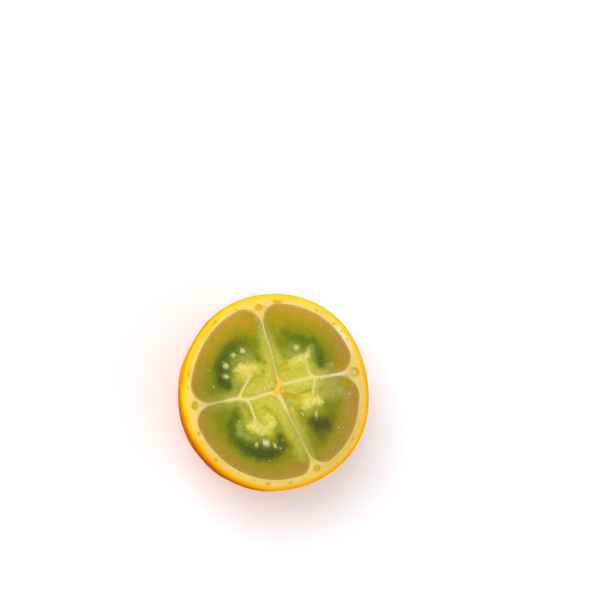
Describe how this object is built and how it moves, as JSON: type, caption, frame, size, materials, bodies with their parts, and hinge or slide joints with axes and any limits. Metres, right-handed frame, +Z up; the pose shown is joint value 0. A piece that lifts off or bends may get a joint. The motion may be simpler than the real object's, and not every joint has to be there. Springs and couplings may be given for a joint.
{
  "type": "halved naranjilla",
  "caption": "Halved naranjilla fruit with an orange skin and green pulp in its chambers, lying cut face up as a food or still-life prop.",
  "frame": {"origin": "on the surface that the half rests on, under the middle of its cut face", "axes": "+Z up, out of the cut face; +Y towards the chamber wall that runs to the top of the face; +X to the right when looking down on the face"},
  "size_m": [0.0569, 0.0572, 0.0277],
  "materials": {
    "skin": "smooth, softly glossy, with fine pale pores",
    "flesh": "moist, pale yellow cut wall and septa",
    "pulp": "wet jelly, tan at the wall and dark green round the seeds",
    "placenta": "moist, pale yellow-green, softly lumpy",
    "seed": "wet, smooth, pale",
    "strand": "moist, darker yellow than the wall",
    "juice": "wet, glossy",
    "scar": "dry, rough"
  },
  "bodies": {
    "root": {"naranjilla_half": "skin"}
  },
  "joints": []
}
